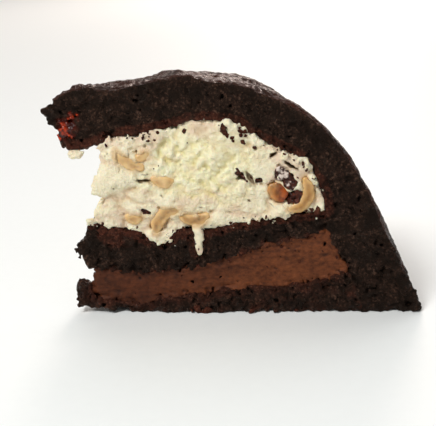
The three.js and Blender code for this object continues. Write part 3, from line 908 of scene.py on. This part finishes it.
# The cream's lip over a piece is uneven where it covers the piece deeper than this
UNEVEN_COVER = 0.2

# The middle of the buttery part of the filling and how far it reaches, as radius and height
BUTTERY = ((57.0, 52.0), (20.0, 12.0))

# A run of cream over the disc: its radius, its top and bottom, and its half width at each
RUN_AT = (55.6, 34.0, 22.9)
RUN_HALF_WIDTH = (1.7, 1.1)

# How far in front of the cut face the run's middle line lies, and how much flatter than wide the run is
RUN_OFF_FACE = 1.3
RUN_FLATNESS = 1.2

# How far to each side of the run, how far behind the cut face and from how far below its top other cream is
# wiped off the disc, and the distance that leaves none there
WIPED_BESIDE = 4.5
WIPED_BEHIND = 2.4
WIPED_BELOW = 3.0
NO_CREAM = 2.0


def pitted(points, pits, seed):
    """How deep the points lie in the ragged pits, and how much painted shade darkens them, more in a deep
    one
    """
    points = bent(points, 0.45, 1.1, seed)
    deepest = np.full(len(points), -9.0, np.float32)
    hollow_shaded = np.zeros(len(points), np.float32)
    across = points[:, 0] - AXIS_X
    behind = points[:, 1] - FRONT_Y
    for radius, height, length, width, tilt, depth in pits:
        turned = math.radians(tilt)
        right = across - radius
        up = points[:, 2] - height
        along = (right * math.cos(turned) + up * math.sin(turned)) / (length / 2)
        over = (up * math.cos(turned) - right * math.sin(turned)) / (width / 2)
        deep = (behind + 1) / (depth + 1)
        inside = 1 - np.sqrt(along ** 2 + over ** 2 + deep ** 2)
        deepest = np.maximum(deepest, inside * min(length, width) / 2)
        hollow_shaded = np.maximum(hollow_shaded, smooth_step(-0.5, 0.2, inside) * min(1, 0.25 + depth))
    return deepest, hollow_shaded


def joined(first, second, reach):
    """The union of two distances, filled in where they meet"""
    share = np.clip(0.5 + 0.5 * (second - first) / reach, 0, 1)
    return second + (first - second) * share - reach * share * (1 - share)


def run_at(points, seed):
    """Distances to the run of cream that the knife dragged down, which is straight on its right side"""
    radius, top, bottom = RUN_AT
    down = np.clip((top - points[:, 2]) / (top - bottom), 0, 1)
    wide, narrow = RUN_HALF_WIDTH
    right = points[:, 0] - AXIS_X - radius - down * (wide - narrow) + 0.5 * noise(points, 1.5, seed)
    out = (points[:, 1] - FRONT_Y + RUN_OFF_FACE) * RUN_FLATNESS
    up = points[:, 2] - (top - down * (top - bottom))
    uneven = 0.4 * noise(points, 1.1, seed + 1)
    return np.sqrt(right ** 2 + out ** 2 + up ** 2) - wide - down * (narrow - wide) + uneven


def dragged(points, shown, seed):
    """The points moved along the cut faces by the unevenness that the knife drags into an edge"""
    angle = np.arctan2(points[:, 1] - FRONT_Y, points[:, 0] - AXIS_X)
    out = 0.8 * noise(points, 2.6, seed) + 0.9 * noise(points, 1.2, seed + 1)
    up = 0.9 * noise(points, (1.8, 1.8, 3.0), seed + 2) + 1.1 * noise(points, (0.95, 0.95, 1.7), seed + 3)
    moved = points.copy()
    moved[:, 0] += shown * out * np.cos(angle)
    moved[:, 1] += shown * out * np.sin(angle)
    moved[:, 2] += shown * up
    return moved


def pocket(piece, points):
    """Distances to the room that a piece needs in the cream"""
    return np.min([piece.at(deeper(points, depth)) for depth in POCKET_DEPTHS], axis=0)


def off_butter(points):
    """Distance from the middle of the buttery part, 1 at its rim"""
    (radius, height), (wide, high) = BUTTERY
    return np.hypot((radius_of(points) - radius) / wide, (points[:, 2] - height) / high)


def folds_at(points):
    """Broad folds that the knife has drawn in the cream, 1 in their creases"""
    return ridges(bent(points, 2.5, 6, 240), (8, 8, 5.5), 243)


def smear_cream(field, pieces, seed):
    """Drags the cream's edges over the sponge, lumps its surface and beds the pieces in it"""
    base = field.smoothed(CREAM_ROUND)
    index, points = base.near(CREAM_REACH)
    shown = showing(points)
    values = base.at(dragged(points, shown, seed)) - OVERLAP
    smeared = smooth_step(0.8, 1.4, off_butter(points) + 0.4 * noise(points, 9, seed + 20))
    lumpy = 1 - 0.8 * smeared
    curds = 1.5 * lumpy * (ridges(bent(points, 1.3, 4, seed + 8), 5, seed + 4) - 0.7)
    small = 0.9 * lumpy * (ridges(bent(points, 0.7, 2, seed + 11), 2.4, seed + 5) - 0.7)
    fine = (0.4 - 0.15 * smeared) * noise(points, 0.95, seed + 6)
    swells = 2.2 * smeared * (folds_at(points) - 0.7)
    values = values + shown * (curds + small + fine + swells)
    radius, top, _ = RUN_AT
    wiped = (points[:, 1] < FRONT_Y + WIPED_BEHIND) & (points[:, 2] < top - WIPED_BELOW)
    wiped = wiped & (np.abs(radius_of(points) - radius) < WIPED_BESIDE)
    values = np.minimum(np.where(wiped, NO_CREAM, values), run_at(points, seed + 14))
    for piece, _, drawn_up in pieces:
        values = joined(values, piece.at(points) + PIECE_GAP, drawn_up)
    uneven = 0.5 * noise(points, 1.7, seed + 30)
    for piece, cover, _ in pieces:
        lip = pocket(piece, points) + cover + (cover > UNEVEN_COVER) * uneven
        values = -joined(-values, lip, LIP_ROUND)
    bubbles = holes(points, 4.0, 0.1, 0.4, seed + 7, share=0.2) - 3 * (1 - shown)
    pits = pitted(points, PITS, PITS_SEED)[0]
    base.values.ravel()[index] = np.maximum(values, np.maximum(bubbles, pits))
    return base


def rosy_and_fold_shade_at(points):
    """How pink the cream is: pink smears in soft streaks, and pink painted shade in the creases of its
    folds, away from its buttery middle
    """
    streaks = 0.6 * noise(points, (7, 7, 4), 235) + 0.5 * noise(points, (2.6, 2.6, 1.0), 236)
    outside = smooth_step(0.7, 1.4, off_butter(points))
    return 0.7 * smooth_step(0.0, 0.9, streaks + 0.8 * outside * smooth_step(0.6, 1.0, folds_at(points)))


def cream_layer(material, solid, peels, chocolates):
    """The filling, with the marks that its colours follow"""
    pieces = [(piece, *BEDDED.get(node, BEDDED[""])) for node, piece in (peels | chocolates).items()]
    field = smear_cream(solid, pieces, 211)
    points, faces = surface(field, LAYER_MERGED)
    near_peel = np.min([pocket(peel, points) for peel in peels.values()], axis=0)
    marks = {
        "hollow": field.smoothed(1.2).at(points),
        "candied": 0.7 * (1 - smooth_step(0.0, 1.9, near_peel + 0.9 * noise(points, 2.4, 231))),
        "pit": pitted(points, PITS, PITS_SEED)[1],
        "buttery": 1 - smooth_step(0.5, 1.2, off_butter(points) + 0.35 * noise(points, 7, 233)),
        "rosy_and_fold_shade": rosy_and_fold_shade_at(points),
    }
    thing = make_object("whipped_cream", points, faces, [material], marks)
    dress(thing, "whipped_cream", "cream_filling")
    return field


# Mousse

# Slits in the first cut face of the mousse, given as the pits are
SLITS = [
    (80.9, 16.3, 6.4, 0.6, 2, 0.8),
    (44.0, 11.6, 2.2, 0.8, 20, 0.6),
    (47.2, 12.4, 1.4, 0.7, -15, 0.6),
    (91.0, 26.0, 1.0, 1.6, 0, 0.6),
    (102.4, 21.8, 1.3, 1.0, 30, 0.8),
    (88.6, 21.0, 0.8, 0.8, 0, 0.8),
    (72.4, 18.6, 1.2, 0.6, 0, 0.6),
]
SLITS_SEED = 317


def mousse_layer(material, solids):
    """The mousse, drawn flat by the knife, with small bubbles"""
    neighbours = [solids[other] for other in solids if other != "chocolate_mousse"]
    field = solids["chocolate_mousse"].smoothed(MOUSSE_ROUND)
    index, points = field.near(LAYER_REACH)
    shown = showing(points)
    values = field.at(dragged(points, 0.8 * shown, 331))
    values = values - SEAM_GROWTH * (1 - smooth_step(*SEAM, nearest(neighbours, points)))
    streaks = 0.3 * noise(points, (4, 4, 1.6), 311) + 0.2 * noise(points, 1.1, 312)
    bubbles = holes(bent(points, 0.5, 1, 316), 3.0, 0.3, 0.65, 313, share=0.5) - 3 * (1 - shown)
    slits = pitted(points, SLITS, SLITS_SEED)[0]
    field.values.ravel()[index] = np.maximum(values + shown * streaks, np.maximum(bubbles, slits))
    points, faces = surface(field, LAYER_MERGED)
    marks = {
        "hollow": field.smoothed(1.0).at(points),
        "pale": smooth_step(28, 92, radius_of(points) + 10 * noise(points, 12, 314)),
    }
    thing = make_object("chocolate_mousse_layer", points, faces, [material], marks)
    dress(thing, "chocolate_mousse", "chocolate_mousse")
    return field


# Pieces in the cream

# How far a peel has swollen into the cream round it
PEEL_SWELL = 0.7

# How far the cut face of a peel is sunk into the cream: less for the amber one and for the ring
PEEL_SUNK = {"": 0.8, "peel_7": 0.2, "peel_8": 0.2}

# Depth behind its cut face at which a peel's outline is taken
OUTLINE_DEPTH = 2.0

# How much cream covers a peel in patches
CREAMED = {"peel_1": 0.25, "peel_2": 0.15, "peel_3": 0.6, "peel_4": 0.6, "peel_5": 0.5, "peel_6": 0.5}

# How dark the syrup has made a peel at its left and its right end, and the radii between which it darkens
RIPE = {"peel_7": (0.35, 1.0)}
DARKENS = (80.5, 84.0)


def candied_peel(node, field, cream, material, seed):
    """One curl of peel, its skin softened and its edges under a film of cream"""
    smooth = field.smoothed(PEEL_ROUND)
    soft = Field(smooth.low, smooth.values.copy(), smooth.cell)
    index, points = soft.near(PIECE_REACH)
    uneven = 0.3 * noise(points, 2.0, seed) + 0.12 * noise(points, 0.8, seed + 3)
    sunk = PEEL_SUNK.get(node, PEEL_SUNK[""])
    soft.values.ravel()[index] = smooth.at(deeper(points, -sunk)) + uneven - PEEL_SWELL
    points, faces = surface(soft, PIECE_MERGED)
    above = cream.at(points) + 0.3 * noise(points, 1.2, seed + 1)
    covered = CREAMED.get(node, 0) * (0.8 + 1.2 * noise(points, 2.4, seed + 2))
    pale, dark = RIPE.get(node, (0, 0))
    film = np.maximum((0.6 - 2 * pale) * (1 - smooth_step(0.0, 0.8, above)), covered)
    darkened = smooth_step(*DARKENS, radius_of(points) + noise(points, 2, seed + 5))
    from_outline = field.at(deeper(points, OUTLINE_DEPTH)) + 0.3 * noise(points, 1.5, seed + 4)
    marks = {
        "film": np.clip(film, 0, 1),
        "ripe": pale + (dark - pale) * darkened,
        "edge": smooth_step(-1.6, 0.4, from_outline),
    }
    thing = make_object(node + "_candied", points, faces, [material], marks)
    dress(thing, "candied_peel", node)


# How much cream is caught on a piece of chocolate
SPECKLED = {"chocolate_2": 0.55, "chocolate_3": 0.1, "chocolate_4": 0.2}

# How far a piece of chocolate stands out beyond its solid core
CHUNK_SWELL = {"chocolate_2": 0.9, "chocolate_3": 0.5}


def broken_chocolate(node, field, material, seed):
    """One piece of chocolate with a rough break"""
    rough = field.smoothed(CHOCOLATE_ROUND)
    index, points = rough.near(PIECE_REACH)
    jagged = 1.3 * (ridges(points, 2.0, seed) - 0.5) + 0.6 * noise(points, 1.0, seed + 1)
    rough.values.ravel()[index] += jagged - CHUNK_SWELL.get(node, 0)
    points, faces = surface(rough, PIECE_MERGED)
    patchy = 0.7 * noise(points, 0.6, seed + 2) + 0.6 * noise(points, 2.0, seed + 3)
    caught = smooth_step(0.0, 0.5, patchy + SPECKLED.get(node, 0) - 0.6)
    thing = make_object(node + "_broken", points, faces, [material], {"speckled": caught})
    dress(thing, "dark_chocolate", node)
    return rough


# Crumbs of sponge on the cream and flecks of cream on the sponge, as radius, height and size in the first
# cut face
CRUMBS = [
    (39.4, 62.5, 1.3),
    (41.0, 61.4, 1.2),
    (42.9, 61.3, 1.2),
    (52.7, 63.9, 1.3),
    (53.5, 60.3, 0.5),
    (65.3, 65.2, 2.0),
    (65.6, 64.0, 1.7),
    (66.4, 63.1, 1.4),
    (68.0, 61.9, 1.2),
    (68.3, 60.7, 0.8),
    (70.9, 63.9, 1.3),
    (72.2, 63.7, 1.2),
    (71.0, 62.6, 1.3),
    (72.4, 62.3, 1.0),
    (71.6, 60.2, 1.2),
    (75.0, 58.5, 1.5),
    (69.5, 51.2, 1.0),
    (43.8, 52.9, 0.4),
    (42.1, 51.9, 0.4),
    (74.0, 47.9, 1.2),
    (90.6, 52.6, 1.4),
    (91.8, 50.4, 1.3),
    (93.2, 44.8, 1.6),
    (54.9, 25.9, 0.9),
    (55.7, 24.2, 0.7),
    (91.5, 36.7, 1.6),
    (93.3, 37.0, 1.9),
    (95.1, 36.5, 2.0),
    (96.6, 35.8, 1.5),
    (54.6, 0.9, 2.6),
    (56.8, 0.7, 2.0),
    (58.0, 1.2, 1.4),
    (52.2, 1.0, 1.5),
    (73.0, 0.8, 1.6),
    (88.0, 0.7, 1.4),
]
FLECKS = [
    (82.6, 48.6, 0.7),
    (81.1, 32.9, 1.0),
    (80.5, 32.2, 0.7),
    (72.6, 32.6, 0.8),
    (47.6, 24.8, 0.4),
    (94.0, 48.4, 0.8),
    (94.8, 46.8, 0.7),
]

# Seeds of the scattered bits' places, sizes and shapes
PLACES_SEED = 70
SIZES_SEED = 80
SHAPES_SEED = 90

# Diameter of the smallest bit that is scattered
SMALLEST_BIT = 0.3

# How many random places are tried for each such bit, between which radii and heights, and how likely a
# place has to be at least
TRIES = 60
TRIED_RADII = (14, 104)
TRIED_HEIGHTS = (14, 76)
LEAST_LIKELY = 0.1

# Depths behind a cut face at which the food's surface is looked for: the first, the end and the step
SURFACE_DEPTHS = (-3.5, 4.0, 0.15)

# How far behind a cut face the layers are plain, so that it can be told which one lies there
PLAIN_DEPTH = 3.5


def in_cut(turn, radius, height, behind):
    """Points at a radius and height, that far behind the first cut face, at turn 0, or the second, at 1"""
    angle = turn * SLICE_ANGLE
    side = 1 - 2 * turn
    x = AXIS_X + radius * math.cos(angle) - side * behind * math.sin(angle)
    y = FRONT_Y + radius * math.sin(angle) + side * behind * math.cos(angle)
    return np.stack([x, y, height], axis=1)


def on_cut(turn, radius, height, fields):
    """How far behind the plane of a cut face the food's surface lies"""
    depths = np.arange(*SURFACE_DEPTHS)
    front = np.full(len(radius), depths[-1])
    for depth in depths[::-1]:
        inside = nearest(fields, in_cut(turn, radius, height, depth)) < 0
        front[inside] = depth
    return front


def scattered(turn, hosts, others, count, reach, seed):
    """Places in a cut face that lie in the hosts and, mostly, beside the others"""
    draw = np.random.RandomState(seed)
    radius = draw.uniform(*TRIED_RADII, TRIES * count)
    height = draw.uniform(*TRIED_HEIGHTS, TRIES * count)
    places = in_cut(turn, radius, height, PLAIN_DEPTH)
    likely = np.exp(-np.maximum(nearest(others, places), 0) / reach)
    kept = (nearest(hosts, places) < 0) & (draw.uniform(0, 1, len(radius)) < likely)
    kept = np.flatnonzero(kept & (likely > LEAST_LIKELY))[:count]
    return radius[kept], height[kept]


def bits(name, places, sizes, material, slot, marks):
    """One mesh of many uneven little lumps"""
    ball = bmesh.new()
    bmesh.ops.create_icosphere(ball, subdivisions=2, radius=1)
    ball.verts.index_update()
    shape = np.array([v.co for v in ball.verts], np.float32)
    around = np.array([[v.index for v in f.verts] for f in ball.faces])
    ball.free()
    draw = np.random.RandomState(SHAPES_SEED)
    points = []
    faces = []
    for number, (place, size) in enumerate(zip(places, sizes)):
        stretch = size / 2 * draw.uniform(0.6, 1.5, 3)
        rough = 1 + 0.75 * noise(shape + 7 * number, 0.9, SHAPES_SEED + 1)[:, None]
        points.append(place + shape * stretch * rough)
        faces.append(around + number * len(shape))
    faces = np.concatenate(faces)[:, [0, 1, 2, 2]]
    points = np.concatenate(points)
    filled = {mark: np.full(len(points), share) for mark, share in marks.items()}
    dress(make_object(name, points, faces, [material], filled), slot)


def scatter(name, listed, hosts, others, fields, count, reach, largest, look, slot, marks):
    """Bits at the listed places of the first cut face, and at random ones beside a seam in both"""
    places = []
    sizes = []
    for turn, chosen in enumerate((np.array(listed).reshape(-1, 3), np.zeros((0, 3)))):
        radius, height = scattered(turn, hosts, others, count, reach, PLACES_SEED + turn + count)
        drawn = np.random.RandomState(SIZES_SEED + turn).uniform(0, 1, len(radius)) ** 2
        size = SMALLEST_BIT + (largest - SMALLEST_BIT) * drawn
        radius = np.concatenate([chosen[:, 0], radius])
        height = np.concatenate([chosen[:, 1], height])
        places.append(in_cut(turn, radius, height, on_cut(turn, radius, height, fields)))
        sizes.append(np.concatenate([chosen[:, 2], size]))
    bits(name, np.concatenate(places), np.concatenate(sizes), look, slot, marks)


# The slice

place_camera()
lay_floor()
light_studio()

LAYERS = ["sponge_lining", "cream_filling", "sponge_disc", "chocolate_mousse", "sponge_base"]
solids = {node: packed_solid(node, CELL) for node in LAYERS}
peels = {n: packed_solid(n, FINE_CELL) for n in sorted(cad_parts) if n.startswith("peel_")}
chocolates = {
    n: packed_solid(n, FINE_CELL)
    for n in sorted(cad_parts)
    if n.startswith("chocolate_") and n not in LAYERS
}

cream_look = cream_material()
sponge = sponge_material()
cream = cream_layer(cream_look, solids["cream_filling"], peels, chocolates)
lining = sponge_layer(
    "lining_with_skin", "sponge_lining", LINING_SEED, sponge, solids, cream, skin=skin_material()
)
sponges = [
    lining,
    sponge_layer("middle_sponge", "sponge_disc", 21, sponge, solids, cream),
    sponge_layer("base_sponge", "sponge_base", 31, sponge, solids, cream, smeared=5.0),
]
mousse = mousse_layer(mousse_material(), solids)
syrup_glaze(lining, syrup_material())

peel_look = peel_material()
for number, (name, field) in enumerate(peels.items()):
    candied_peel(name, field, cream, peel_look, 401 + 7 * number)

dark = chocolate_material()
chunks = [
    broken_chocolate(name, field, dark, 601 + 7 * number)
    for number, (name, field) in enumerate(chocolates.items())
]

all_food = [cream, mousse, *sponges, *chunks]
crumb = {"look": sponge, "slot": "chocolate_sponge", "marks": {"moist": 1.0, "hollow": 0.3}}
fleck = {"look": cream_look, "slot": "whipped_cream", "marks": {}}
scatter("crumbs_on_cream", CRUMBS, [cream], sponges, all_food, count=80, reach=0.7, largest=1.1, **crumb)
scatter("crumbs_on_mousse", [], [mousse], sponges, all_food, count=60, reach=2.0, largest=1.0, **crumb)
scatter("flecks_on_sponge", FLECKS, sponges, [cream], all_food, count=14, reach=0.3, largest=0.6, **fleck)
